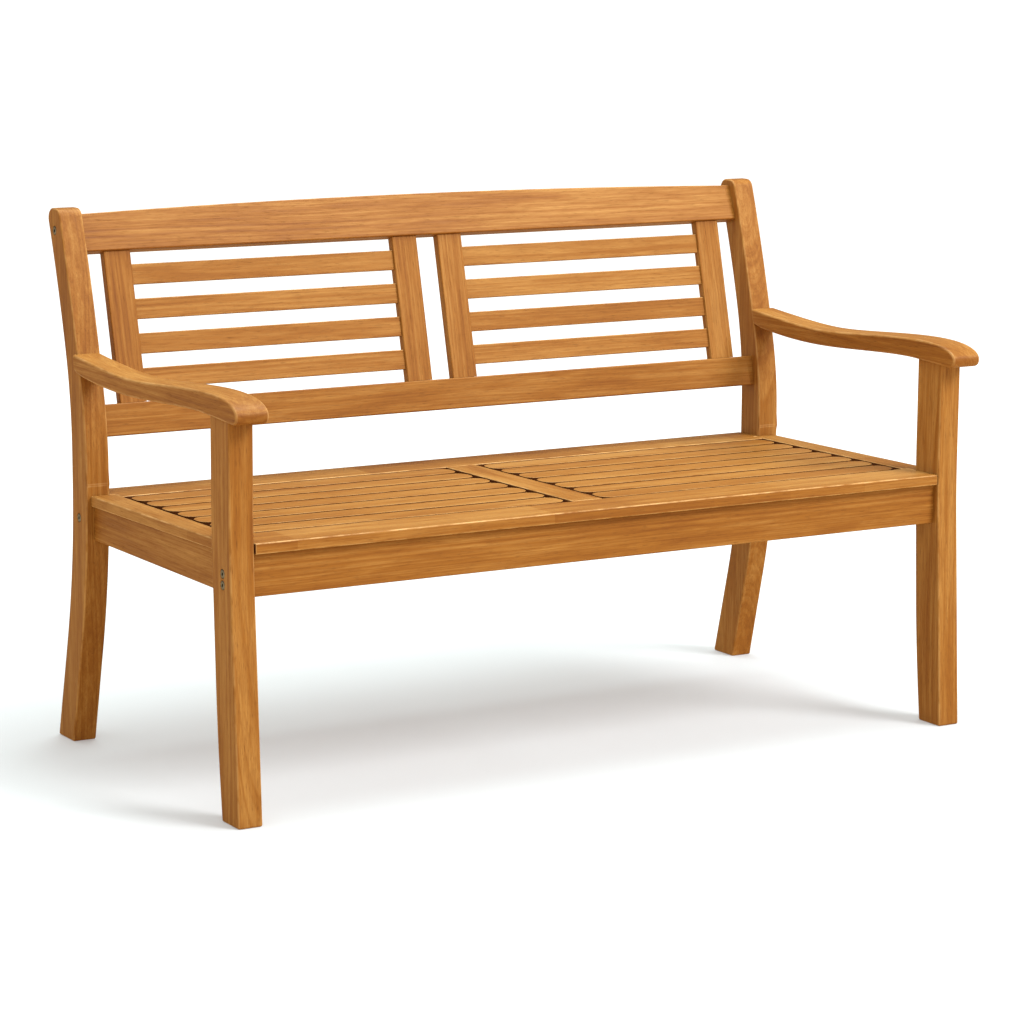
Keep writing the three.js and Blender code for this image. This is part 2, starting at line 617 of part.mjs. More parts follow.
// ---------- aprons ----------
function addAprons() {
  const half = LEG_INNER - GAP;
  for (const [name, apron, bolts] of [
    ["front_apron", FRONT_APRON, BOLTS.slice(2)],
    ["back_apron", BACK_APRON, BOLTS.slice(1, 2)],
  ]) {
    const top = seatUnderside(apron.rear);
    const section = easedSection(apron.front, apron.rear, apron.bottom, top, EASE);
    const pockets = bolts.flatMap(({ y, z }) => [
      ...bothEnds(rodX(BOLT.hole, LEG_INNER - 30, LEG_INNER + 20, y, z)),
      ...bothEnds(rodY(NUT.hole, y - NUT.length / 2 - NUT_POCKET.margin, apron.rear + 1, NUT.x, z, 16)),
    ]);
    const board = join(
      solid(sideways(section, -half, half)),
      ...bothEnds(apronTenon(apron)),
    );
    place(name, geometryOf(cut(board, ...pockets, centreTenon(GAP))), frameWood());
  }

  const { bottom } = SIDE_APRON;
  const [front0, rear0] = [legRearAt(bottom), postFrontAt(bottom)];
  const [frontTop, rearTop] = [seatUnderside(front0), seatUnderside(rear0)];
  const side = outlineOf([
    [front0, bottom], [rear0, bottom], [postFrontAt(rearTop), rearTop], [legRearAt(frontTop), frontTop],
  ]);
  const sideApron = join(solid(sideways(side, SIDE_APRON.inner, SIDE_APRON.outer, EASE)), sideTenon());
  placePair("side_apron", geometryOf(sideApron), frameWood);

  const front = FRONT_APRON.rear + GAP;
  const rear = BACK_APRON.front - GAP;
  const bearer = outlineOf([
    [front, CENTRE_RAIL.bottom], [rear, CENTRE_RAIL.bottom],
    [rear, seatUnderside(rear)], [front, seatUnderside(front)],
  ]);
  const centreRail = join(
    solid(sideways(bearer, -CENTRE_RAIL.half, CENTRE_RAIL.half, EASE)),
    centreTenon(),
  );
  place("centre_rail", geometryOf(centreRail), frameWood());
}

addLegs();
addArms();
addRails();
addStiles();
addBackSlats();
addSeat();
addAprons();
addBolts();

// The origin is under the middle of the whole bench.
bench.updateMatrixWorld(true);
const box = new THREE.Box3().setFromObject(bench, true);
bench.position.y = -(box.min.y + box.max.y) / 2;

export default bench;
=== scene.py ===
"""A slatted hardwood garden bench, jointed and bolted, in oiled honey-brown timber."""
import math

import bmesh
import bpy
from mathutils import Matrix, Vector


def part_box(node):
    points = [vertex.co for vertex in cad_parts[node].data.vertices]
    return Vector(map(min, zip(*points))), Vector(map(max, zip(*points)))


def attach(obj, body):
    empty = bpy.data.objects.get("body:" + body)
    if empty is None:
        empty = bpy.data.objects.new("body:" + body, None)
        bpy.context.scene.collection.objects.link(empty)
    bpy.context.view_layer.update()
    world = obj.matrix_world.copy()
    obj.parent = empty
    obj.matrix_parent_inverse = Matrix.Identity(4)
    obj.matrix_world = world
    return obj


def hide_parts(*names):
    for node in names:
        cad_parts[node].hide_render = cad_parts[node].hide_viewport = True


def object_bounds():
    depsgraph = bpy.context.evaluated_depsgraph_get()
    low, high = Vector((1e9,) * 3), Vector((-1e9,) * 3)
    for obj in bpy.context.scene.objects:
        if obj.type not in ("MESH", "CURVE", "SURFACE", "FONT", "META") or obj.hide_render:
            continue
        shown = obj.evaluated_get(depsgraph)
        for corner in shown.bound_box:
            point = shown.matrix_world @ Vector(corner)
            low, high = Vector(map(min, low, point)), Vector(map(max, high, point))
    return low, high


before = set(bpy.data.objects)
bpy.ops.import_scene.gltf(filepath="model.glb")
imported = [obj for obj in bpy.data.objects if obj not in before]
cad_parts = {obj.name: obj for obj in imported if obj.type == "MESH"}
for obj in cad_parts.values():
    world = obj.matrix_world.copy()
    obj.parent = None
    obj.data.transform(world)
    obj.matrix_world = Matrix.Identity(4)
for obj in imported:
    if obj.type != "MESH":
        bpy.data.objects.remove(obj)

CAD_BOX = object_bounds()

# ---------------------------------------------------------------- driving sizes, in metres
# Distances back (Y) are taken from the front legs' front face, where the legs stand upright.
ARM_REACH = 0.0385  # how far an armrest's nose runs forward of the front leg
LEG_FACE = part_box("armrest_left")[0].y + ARM_REACH
LEG_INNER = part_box("front_leg_right")[0].x
LEG_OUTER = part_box("front_leg_right")[1].x
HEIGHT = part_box("back_post_right")[1].z

EASE = 0.0022  # radius on the long edges of the framing
SLAT_EASE = 0.0018  # on the stiles
BACK_SLAT_EASE = 0.0014
SEAT_SLAT_EASE = 0.0007
LEG_EASE = 0.003
FIT = 0.0003  # clearance between pieces that meet

FRONT_FOOT = (-0.0209, 0.033)  # the front leg's front and rear faces at the ground
BACK_FOOT = (0.5575, 0.6145)
# A leg's face leans by so much at each height, and bends evenly between them.
FRONT_LEG_LEAN = (
    ((0, 0.055), (0.330, 0.055), (0.430, 0), (HEIGHT, 0)),
    ((0, 0.115), (0.060, 0.105), (0.200, 0.045), (0.380, 0.045), (0.440, 0), (HEIGHT, 0)),
)
POST_LEAN = (
    ((0, -0.238), (0.150, -0.238), (0.410, 0), (0.430, 0), (0.551, 0.225), (HEIGHT, 0.333)),
    ((0, -0.25), (0.150, -0.25), (0.405, 0), (0.455, 0), (0.610, 0.24), (HEIGHT, 0.355)),
)
POST_TOP_ROUND = 0.016

ARM_INNER = 0.5887
ARM_OUTER = CAD_BOX[1].x
ARM_TAPER = LEG_INNER - ARM_INNER
ARM_EASE = 0.0038
ARM_SHOULDER_UP = 0.594  # how high an arm meets its post, and how the post's face leans there
ARM_SHOULDER_LEAN = 0.241
TAPER_START = 0.250  # the arm's inner side swings out to the post over this stretch
TAPER_LENGTH = 0.240

RAIL_THICK = 0.022
SLAT_COUNT = 4
SEAT_SLATS = 7


class Lean:
    """A leaning face: u runs across the bench, v up the face and w back from it."""

    def __init__(self, back, up, degrees):
        angle = math.radians(degrees)
        self.start = Vector((0, LEG_FACE + back, up))
        self.up = Vector((0, math.sin(angle), math.cos(angle)))
        self.back = Vector((0, math.cos(angle), -math.sin(angle)))

    def place(self, u, v, w):
        return self.start + Vector((u, 0, 0)) + self.up * v + self.back * w


TOP_RAIL = Lean(0.5715, 0.7543, 21.2)
TOP_RAIL_HEIGHT = 0.0592
TOP_RAIL_RISE = 0.0095
LOW_RAIL = Lean(0.5073, 0.4794, 10.2)
LOW_RAIL_HEIGHT = 0.049
PANEL = Lean(0.521, 0.5267, 13.7)
STILE_WIDTH = 0.0443
STILE_THICK = 0.015
STILE_INNER = 0.019
STILE_OUTER = 0.5171
BACK_SLAT_FOOT = 0.0206  # from the panel's foot to its lowest slat
BACK_SLAT_PITCH = 0.0532
BACK_SLAT_HEIGHT = 0.0312
BACK_SLAT_DEPTHS = (0.004, 0.013)
HOUSED = 0.007  # how far a slat runs into its stiles

SEAT_FALL = 0.733
SEAT_THICK = 0.016
SEAT_FRONT = LEG_FACE - 0.001
SEAT_TOP = 0.4004

BOLT_UP_RAIL = 0.0379  # how far up the top rail's face its bolts are
BOLT_HEAD = 0.0065
BOLT_SHANK = 0.003
NUT_RADIUS = 0.005
NUT_LENGTH = 0.0125
NUT_EASE = 0.0005


# ---------------------------------------------------------------- outlines
def face_back(start, leans, height):
    """How far back a leg's face is at a height."""
    back = start
    for (low, low_lean), (high, high_lean) in zip(leans, leans[1:]):
        top = min(height, high)
        if top <= low:
            break
        top_lean = low_lean + (high_lean - low_lean) * (top - low) / (high - low)
        back += (low_lean + top_lean) / 2 * (top - low)
    return back


def face_line(start, leans, top, step=0.012, top_clear=0.026):
    """The (back, up) points of a leg's face from the ground up, with none close below its top."""
    heights = set()
    for (low, low_lean), (high, high_lean) in zip(leans, leans[1:]):
        parts = 1 if low_lean == high_lean else math.ceil((high - low) / step)
        heights |= {low + (high - low) * i / parts for i in range(parts + 1)}
    kept = sorted(h for h in heights if h < top - top_clear) + [top]
    return [(face_back(start, leans, h), h) for h in kept]


def rounded(before, corner, after, radius, parts=8):
    """The points of an arc that rounds a corner."""
    before, corner, after = Vector(before), Vector(corner), Vector(after)
    out, on = (before - corner).normalized(), (after - corner).normalized()
    half = out.angle(on) / 2
    reach = radius / math.tan(half)
    centre = corner + (out + on).normalized() * radius / math.sin(half)
    start, end = corner + out * reach - centre, corner + on * reach - centre
    sweep = math.atan2(start.x * end.y - start.y * end.x, start.dot(end))
    spokes = (Matrix.Rotation(sweep * i / parts, 2) @ start for i in range(parts + 1))
    return [tuple(centre + spoke) for spoke in spokes]


def round_corners(outline, radii, parts=8):
    """An outline with the corners in radii, {corner number: radius}, rounded."""
    points = []
    count = len(outline)
    for i, corner in enumerate(outline):
        if radii.get(i):
            points += rounded(outline[i - 1], corner, outline[(i + 1) % count], radii[i], parts)
        else:
            points.append(corner)
    return points


def bezier(start, handle, other_handle, end, parts):
    """Points of a curved stretch, without its first."""
    points = []
    for i in range(1, parts + 1):
        t = i / parts
        weights = ((1 - t) ** 3, 3 * t * (1 - t) ** 2, 3 * t * t * (1 - t), t**3)
        corners = zip(weights, (start, handle, other_handle, end))
        points.append(tuple(sum((Vector(p) * w for w, p in corners), Vector((0, 0)))))
    return points


def rectangle(u0, u1, v0, v1):
    return [(u0, v0), (u1, v0), (u1, v1), (u0, v1)]


# ---------------------------------------------------------------- solids
def sideways(side=1):
    """Places an outline drawn from the side, (back, up), at a distance across the bench."""
    return lambda back, up, across: Vector((side * across, LEG_FACE + back, up))


def seat_level(u, v, w):
    """Places (across, back, up) in the seat's own plane, which falls a little to the rear."""
    fall = math.radians(SEAT_FALL)
    back = v * math.cos(fall) + w * math.sin(fall)
    up = w * math.cos(fall) - v * math.sin(fall)
    return Vector((u, SEAT_FRONT + back, SEAT_TOP + up))


def upright(u, v, w):
    return Vector((u, LEG_FACE + v, w))


def carry(outline, start, end, place):
    """A closed solid made by carrying an outline from start to end."""
    bm = bmesh.new()
    near = [bm.verts.new(place(u, v, start)) for u, v in outline]
    far = [bm.verts.new(place(u, v, end)) for u, v in outline]
    bm.faces.new(near)
    bm.faces.new(reversed(far))
    for i in range(len(outline)):
        bm.faces.new((near[i - 1], far[i - 1], far[i], near[i]))
    bmesh.ops.recalc_face_normals(bm, faces=bm.faces)
    return bm


def box_solid(u0, u1, v0, v1, w0, w1, place):
    return carry(rectangle(u0, u1, v0, v1), w0, w1, place)


def lathe(rings, centre, axis, sides=32):
    """A turned solid: (distance along the axis, radius) rings, closed at both ends."""
    bm = bmesh.new()
    turn = Vector(axis).to_track_quat("Z", "Y")
    loops = []
    for along, radius in rings:
        ring = []
        for i in range(sides):
            angle = math.tau * i / sides
            r = radius(angle) if callable(radius) else radius
            spoke = Vector((r * math.cos(angle), r * math.sin(angle), along))
            ring.append(bm.verts.new(Vector(centre) + turn @ spoke))
        loops.append(ring)
    for low, high in zip(loops, loops[1:]):
        for i in range(sides):
            bm.faces.new((low[i - 1], low[i], high[i], high[i - 1]))
    bm.faces.new(reversed(loops[0]))
    bm.faces.new(loops[-1])
    bmesh.ops.recalc_face_normals(bm, faces=bm.faces)
    return bm


def ease_edges(bm, radius, butts=(), segments=3):
    """Rounds every sharp edge but those that lie on a butt, a (point, normal) plane of a joint."""
    def butted(edge):
        return any(
            all(abs((v.co - point).dot(normal)) < 1e-5 for v in edge.verts)
            for point, normal in butts
        )

    sharp = [e for e in bm.edges if e.calc_face_angle(0) > math.radians(25) and not butted(e)]
    made = bmesh.ops.bevel(
        bm,
        geom=sharp,
        offset=radius,
        offset_type="OFFSET",
        segments=segments,
        profile=0.5,
        affect="EDGES",
        clamp_overlap=True,
    )
    rounds = set(made["faces"])
    eased = bm.verts.layers.float.new("eased")
    for vert in bm.verts:
        vert[eased] = float(all(face in rounds for face in vert.link_faces))
    return bm


def mesh_of(bm, name):
    mesh = bpy.data.meshes.new(name)
    bm.to_mesh(mesh)
    bm.free()
    return mesh


def carve(bm, cutters, operation="DIFFERENCE"):
    """Cuts the cutters out of a solid, or joins them to it."""
    body = bpy.data.objects.new("carved", mesh_of(bm, "carved"))
    bpy.context.collection.objects.link(body)
    tools = []
    for cutter in cutters:
        tool = bpy.data.objects.new("cutter", mesh_of(cutter, "cutter"))
        bpy.context.collection.objects.link(tool)
        tools.append(tool)
        change = body.modifiers.new("carve", "BOOLEAN")
        change.operation = operation
        change.solver = "EXACT"
        change.object = tool
    ready = body.evaluated_get(bpy.context.evaluated_depsgraph_get())
    carved = bmesh.new()
    carved.from_mesh(ready.to_mesh())
    for temporary in [body, *tools]:
        mesh = temporary.data
        bpy.data.objects.remove(temporary)
        bpy.data.meshes.remove(mesh)
    return carved


# ---------------------------------------------------------------- pieces
X, Y, Z = Vector((1, 0, 0)), Vector((0, 1, 0)), Vector((0, 0, 1))
board_count = 0


def settle(name, bm, along, material, shade=0.0):
    """Makes a piece of a solid. Its own X axis runs along the grain, which the timber follows."""
    global board_count
    board_count += 1
    mesh = mesh_of(bm, name)
    corners = [v.co for v in mesh.vertices]
    low = Vector(map(min, *corners))
    high = Vector(map(max, *corners))
    grain = along.normalized()
    across = (Z if abs(grain.z) < 0.7 else X).cross(grain).normalized()
    turn = Matrix((grain, across, grain.cross(across))).transposed().to_4x4()
    stand = Matrix.Translation((low + high) / 2) @ turn
    mesh.transform(stand.inverted())
    for polygon in mesh.polygons:
        polygon.use_smooth = True
    piece = bpy.data.objects.new(name, mesh)
    bpy.context.collection.objects.link(piece)
    piece.matrix_world = stand
    keep_flat = piece.modifiers.new("flat faces", "WEIGHTED_NORMAL")
    keep_flat.keep_sharp = True
    keep_flat.weight = 100
    mesh.set_sharp_from_angle(angle=math.radians(50))
    piece["board"] = float(board_count)
    piece["shade"] = shade
    mesh.materials.append(material)
    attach(piece, "root")
    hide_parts(name.removesuffix("_wood").removesuffix("_steel"))
    return piece


# ---------------------------------------------------------------- shader groups
def link(tree, source, target):
    tree.links.new(source, target)


def add(tree, kind, settings=None, **inputs):
    """A shader node with its settings and its inputs, each a value or another node's output."""
    node = tree.nodes.new(kind)
    for key, value in (settings or {}).items():
        setattr(node, key, value)
    for key, value in inputs.items():
        socket = node.inputs[int(key[1:])] if key[0] == "i" and key[1:].isdigit() else None
        socket = socket or node.inputs[key.replace("_", " ")]
        if isinstance(value, bpy.types.NodeSocket):
            link(tree, value, socket)
        else:
            socket.default_value = value
    return node


def maths(tree, operation, *values):
    inputs = {f"i{i}": value for i, value in enumerate(values)}
    return add(tree, "ShaderNodeMath", {"operation": operation}, **inputs).outputs[0]


def ramp(tree, value, low, high, to_low=0.0, to_high=1.0):
    node = add(tree, "ShaderNodeMapRange", None, i0=value, i1=low, i2=high, i3=to_low, i4=to_high)
    return node.outputs[0]


def mix(tree, factor, first, second, blend="MIX"):
    settings = {"data_type": "RGBA", "blend_type": blend}
    return add(tree, "ShaderNodeMix", settings, i0=factor, i6=first, i7=second).outputs[2]


def vector_maths(tree, operation, first, second):
    settings = {"operation": operation}
    return add(tree, "ShaderNodeVectorMath", settings, i0=first, i1=second).outputs[0]


def length_of(tree, vector):
    return add(tree, "ShaderNodeVectorMath", {"operation": "LENGTH"}, i0=vector).outputs["Value"]


def stretched(tree, position, along, across):
    """The position drawn out along the grain."""
    return vector_maths(tree, "MULTIPLY", position, (along, across, across))


def attribute(tree, name, kind="GEOMETRY"):
    settings = {"attribute_type": kind, "attribute_name": name}
    return add(tree, "ShaderNodeAttribute", settings).outputs["Fac"]


def noise(tree, position, scale=1.0, detail=2.0, roughness=0.5, distortion=0.0):
    node = add(
        tree,
        "ShaderNodeTexNoise",
        None,
        Vector=position,
        Scale=scale,
        Detail=detail,
        Roughness=roughness,
        Distortion=distortion,
    )
    return node.outputs[0]


def new_group(name, inputs, outputs):
    """A node group with named sockets: {name: (kind, default)} in, {name: kind} out."""
    tree = bpy.data.node_groups.new(name, "ShaderNodeTree")
    for label, (kind, default) in inputs.items():
        socket = tree.interface.new_socket(label, in_out="INPUT", socket_type=f"NodeSocket{kind}")
        socket.default_value = default
    for label, kind in outputs.items():
        tree.interface.new_socket(label, in_out="OUTPUT", socket_type=f"NodeSocket{kind}")
    return tree, tree.nodes.new("NodeGroupInput").outputs, tree.nodes.new("NodeGroupOutput").inputs


def timber_figure():
    """Growth rings, fibres, pores and slow drift of colour, for a board with its grain along X."""
    tree, given, result = new_group(
        "timber figure",
        {
            "Position": ("Vector", (0, 0, 0)),
            "Board": ("Float", 0.0),
            "Ring Spacing": ("Float", 0.006),
            "Wander": ("Float", 0.012),
        },
        {"Rings": "Float", "Drift": "Float", "Fibre": "Float", "Pores": "Float", "Flame": "Float"},
    )
    one_dimension = {"noise_dimensions": "1D"}
    own = add(tree, "ShaderNodeTexWhiteNoise", one_dimension, W=given["Board"]).outputs["Color"]
    shift = vector_maths(tree, "MULTIPLY", own, (7.0, 7.0, 7.0))
    place = vector_maths(tree, "ADD", given["Position"], shift)

    # The heart of the tree runs beside the board, at its own distance and side.
    heart = vector_maths(tree, "SUBTRACT", own, (0.5, 0.5, 0.5))
    heart = vector_maths(tree, "MULTIPLY", heart, (0, 0.16, 0.22))
    beside = vector_maths(tree, "ADD", given["Position"], heart)
    sway = noise(tree, stretched(tree, place, 1.6, 7.0), detail=1.0)
    sway = maths(tree, "MULTIPLY", maths(tree, "SUBTRACT", sway, 0.5), given["Wander"])
    reach = length_of(tree, vector_maths(tree, "MULTIPLY", beside, (0.02, 1, 1)))
    reach = maths(tree, "ADD", reach, maths(tree, "MULTIPLY", sway, 2.0))
    turns = maths(tree, "DIVIDE", reach, given["Ring Spacing"])
    rings = add(
        tree, "ShaderNodeTexNoise", one_dimension, W=turns, Scale=1.0, Detail=3.0, Roughness=0.6
    )
    link(tree, rings.outputs[0], result["Rings"])

    drift = noise(tree, stretched(tree, place, 2.2, 16.0), detail=2.0)
    link(tree, drift, result["Drift"])
    fibre = noise(tree, stretched(tree, place, 16.0, 520.0), detail=3.0, roughness=0.65)
    link(tree, fibre, result["Fibre"])
    pores = noise(tree, stretched(tree, place, 60.0, 1100.0), detail=1.0)
    link(tree, ramp(tree, pores, 0.60, 0.74), result["Pores"])
    flame = noise(tree, stretched(tree, place, 7.0, 95.0), detail=3.0, roughness=0.6, distortion=0.6)
    link(tree, ramp(tree, flame, 0.36, 0.68), result["Flame"])
    return tree


def paint_edge_highlight():
    """Painted highlight along the eased edges, paler in broken stretches."""
    tree, given, result = new_group(
        "painted edge highlight",
        {"Position": ("Vector", (0, 0, 0)), "Eased": ("Float", 0.0), "Amount": ("Float", 0.5)},
        {"Highlight": "Float"},
    )
    broken = ramp(tree, noise(tree, given["Position"], scale=38.0, detail=3.0), 0.32, 0.62)
    highlighted = maths(tree, "MULTIPLY", given["Eased"], given["Amount"])
    link(tree, maths(tree, "MULTIPLY", highlighted, broken), result["Highlight"])
    return tree


def finger_joints():
    """A board glued up end to end from short lengths, each with its own shade from 0 to 1."""
    tree, given, result = new_group(
        "finger joints",
        {"Position": ("Vector", (0, 0, 0)), "Board": ("Float", 0.0), "Length": ("Float", 0.2)},
        {"Shade": "Float"},
    )
    parts = add(tree, "ShaderNodeSeparateXYZ", None, i0=given["Position"]).outputs
    own = maths(tree, "MULTIPLY", given["Board"], 0.37)
    count = maths(tree, "ADD", maths(tree, "DIVIDE", parts[0], given["Length"]), own)
    count = maths(tree, "FLOOR", count)
    key = maths(tree, "ADD", count, maths(tree, "MULTIPLY", given["Board"], 17.0))
    shade = add(tree, "ShaderNodeTexWhiteNoise", {"noise_dimensions": "1D"}, W=key).outputs["Value"]
    link(tree, shade, result["Shade"])
    return tree


FIGURE = timber_figure()
EDGE_HIGHLIGHT = paint_edge_highlight()
FINGERS = finger_joints()


def place_group(tree, group, **inputs):
    node = tree.nodes.new("ShaderNodeGroup")
    node.node_tree = group
    for key, value in inputs.items():
        socket = node.inputs[key.replace("_", " ")]
        if isinstance(value, bpy.types.NodeSocket):
            link(tree, value, socket)
        else:
            socket.default_value = value
    return node.outputs


# ---------------------------------------------------------------- finishes
# The pale tint of the painted highlight on the eased edges.
HIGHLIGHT_TINT = (0.62, 0.36, 0.14, 1)
PALE = (0.41, 0.192, 0.044, 1)
HONEY = (0.305, 0.117, 0.017, 1)
AMBER = (0.185, 0.056, 0.007, 1)
DARK_GRAIN = (0.08, 0.022, 0.004, 1)
# The dark colour of the painted shade on the flanks of the narrow gaps.
GAP_SHADE = (0.075, 0.018, 0.002, 1)


def oiled_timber(name, ring_spacing, wander, contrast, joint_length, joint_contrast, highlight_amount):
    """Oiled honey-brown hardwood with its grain along the piece's own X axis."""
    material = bpy.data.materials.new(name)
    material.use_nodes = True
    tree = material.node_tree
    shader = tree.nodes["Principled BSDF"]
    coords = tree.nodes.new("ShaderNodeTexCoord").outputs
    position = coords["Object"]
    board = attribute(tree, "board", "OBJECT")
    tone = attribute(tree, "shade", "OBJECT")
    eased = attribute(tree, "eased")
    gap = attribute(tree, "gap")

    figure = place_group(
        tree, FIGURE, Position=position, Board=board, Ring_Spacing=ring_spacing, Wander=wander
    )
    joints = place_group(tree, FINGERS, Position=position, Board=board, Length=joint_length)
    highlight_mask = place_group(tree, EDGE_HIGHLIGHT, Position=position, Eased=eased, Amount=highlight_amount)["Highlight"]

    # Late wood in the rings and slow flames take the timber from pale to amber.
    late = ramp(tree, figure["Rings"], 0.38, 0.66)
    depth = maths(tree, "MULTIPLY", late, 0.38 * contrast)
    depth = maths(tree, "ADD", depth, maths(tree, "MULTIPLY", figure["Flame"], 0.46 * contrast))
    drift = maths(tree, "MULTIPLY", maths(tree, "SUBTRACT", figure["Drift"], 0.46), 1.3 * contrast)
    depth = maths(tree, "ADD", depth, drift)
    glued = maths(tree, "MULTIPLY", maths(tree, "SUBTRACT", joints["Shade"], 0.5), joint_contrast)
    depth = maths(tree, "ADD", maths(tree, "ADD", depth, glued), tone)
    colour = mix(tree, ramp(tree, depth, 0.0, 0.5), PALE, HONEY)
    colour = mix(tree, ramp(tree, depth, 0.5, 1.15), colour, AMBER)

    streak = ramp(tree, figure["Fibre"], 0.36, 0.66)
    colour = mix(tree, maths(tree, "MULTIPLY", streak, 0.40 * contrast), colour, AMBER)
    colour = mix(tree, maths(tree, "MULTIPLY", figure["Pores"], 0.42), colour, DARK_GRAIN)

    # End grain drinks more oil and goes darker.
    facing = add(tree, "ShaderNodeSeparateXYZ", None, i0=coords["Normal"]).outputs[0]
    end = ramp(tree, maths(tree, "ABSOLUTE", facing), 0.80, 0.97)
    colour = mix(tree, maths(tree, "MULTIPLY", end, 0.45), colour, AMBER)
    # Painted highlight: the eased edges are mixed paler.
    colour = mix(tree, highlight_mask, colour, HIGHLIGHT_TINT)
    # Painted shade: the flanks beside narrow gaps, marked by the gap attribute, go nearly black-brown.
    colour = mix(tree, maths(tree, "MULTIPLY", gap, 0.95), colour, GAP_SHADE)
    link(tree, colour, shader.inputs["Base Color"])

    rough = maths(tree, "ADD", 0.47, maths(tree, "MULTIPLY", streak, 0.12))
    rough = maths(tree, "ADD", rough, maths(tree, "MULTIPLY", figure["Pores"], 0.15))
    rough = maths(tree, "SUBTRACT", rough, maths(tree, "MULTIPLY", highlight_mask, 0.10))
    rough = maths(tree, "ADD", rough, maths(tree, "MULTIPLY", gap, 0.4))
    link(tree, rough, shader.inputs["Roughness"])

    height = maths(tree, "SUBTRACT", maths(tree, "MULTIPLY", figure["Fibre"], 0.45), figure["Pores"])
    bump = add(tree, "ShaderNodeBump", None, Strength=0.22, Distance=0.0004, Height=height)
    link(tree, bump.outputs[0], shader.inputs["Normal"])
    shader.inputs["Coat Weight"].default_value = 0.03
    shader.inputs["Coat Roughness"].default_value = 0.38
    shader.inputs["Specular IOR Level"].default_value = 0.15
    return material


def zinc_steel(name, colour, roughness):
    """Plated steel, a little clouded and scuffed."""
    material = bpy.data.materials.new(name)
    material.use_nodes = True
    tree = material.node_tree
    shader = tree.nodes["Principled BSDF"]
    position = tree.nodes.new("ShaderNodeTexCoord").outputs["Object"]
    cloud = noise(tree, position, scale=260.0, detail=3.0)
    scuffs = noise(tree, stretched(tree, position, 90.0, 1500.0), detail=2.0)
    dull = tuple(c * 0.55 for c in colour[:3]) + (1,)
    link(tree, mix(tree, ramp(tree, cloud, 0.35, 0.7), colour, dull), shader.inputs["Base Color"])
    rough = maths(tree, "ADD", roughness, maths(tree, "MULTIPLY", cloud, 0.22))
    link(tree, rough, shader.inputs["Roughness"])
    bump = add(tree, "ShaderNodeBump", None, Strength=0.15, Distance=0.0001, Height=scuffs)
    link(tree, bump.outputs[0], shader.inputs["Normal"])
    shader.inputs["Metallic"].default_value = 1.0
    return material


FRAME_TIMBER = oiled_timber("oiled frame timber", 0.0048, 0.009, 1.0, 3.0, 0.0, 0.4)
BOARD_TIMBER = oiled_timber("oiled seat board timber", 0.0045, 0.008, 0.95, 0.14, 0.5, 0.8)
SLAT_TIMBER = oiled_timber("oiled slat timber", 0.0042, 0.007, 0.85, 3.0, 0.0, 0.6)
SEAT_SLAT_TIMBER = oiled_timber("oiled seat slat timber", 0.0042, 0.007, 0.85, 3.0, 0.0, 0.8)
ZINC = zinc_steel("zinc bolt", (0.22, 0.20, 0.17, 1), 0.32)
NUT_STEEL = zinc_steel("barrel nut steel", (0.50, 0.47, 0.38, 1), 0.36)


# ---------------------------------------------------------------- bolts and barrel nuts
RAIL_BOLT = TOP_RAIL.place(0, BOLT_UP_RAIL, RAIL_THICK / 2)
BOLTS = {
    "top_rail": (RAIL_BOLT.y - LEG_FACE, RAIL_BOLT.z),
    "back_apron": (0.521, 0.357),
    "front_apron_upper": (0.024, 0.357),
    "front_apron_lower": (0.024, 0.341),
}
NUT_ACROSS = 0.580


def bolt_hole(name, side):
    """The stepped hole for a bolt, flared a little at its mouth."""
    back, up = BOLTS[name]
    rings = [
        (-0.070, 0.0034),
        (-0.0032, 0.0034),
        (-0.0031, 0.0069),
        (-0.0006, 0.0069),
        (0.0006, 0.0081),
    ]
    return lathe(rings, (side * LEG_OUTER, LEG_FACE + back, up), (side, 0, 0))


def nut_pocket(name, side):
    back, up = BOLTS[name]
    if name == "top_rail":
        middle = TOP_RAIL.place(side * NUT_ACROSS, BOLT_UP_RAIL, 0)
        return lathe([(0.006, 0.0054), (0.030, 0.0054)], middle, TOP_RAIL.back)
    start = upright(side * NUT_ACROSS, back - 0.007, up)
    return lathe([(0, 0.0054), (0.040, 0.0054)], start, Y)


def hexagon(width):
    """The radius of a hexagon, its flats so far apart, at each angle."""
    return lambda angle: width / 2 / math.cos((angle + math.pi / 6) % (math.pi / 3) - math.pi / 6)


def make_bolts():
    socket = hexagon(0.0042)
    rings = [
        (-0.060, 0.0024),
        (-0.0594, BOLT_SHANK),
        (-0.0030, BOLT_SHANK),
        (-0.0029, BOLT_HEAD - 0.0002),
        (-0.0026, BOLT_HEAD),
        (-0.0010, BOLT_HEAD),
        (-0.0004, BOLT_HEAD - 0.0003),
        (-0.0001, BOLT_HEAD - 0.0010),
        (0.0, BOLT_HEAD - 0.0019),
        (0.0, 0.0027),
        (-0.0003, socket),
        (-0.0020, socket),
        (-0.0025, 0.0008),
    ]
    for name, (back, up) in BOLTS.items():
        for side, hand in ((1, "right"), (-1, "left")):
            head = lathe(rings, (side * LEG_OUTER, LEG_FACE + back, up), (side, 0, 0), sides=48)
            settle(f"bolt_{name}_{hand}_steel", head, X, ZINC)


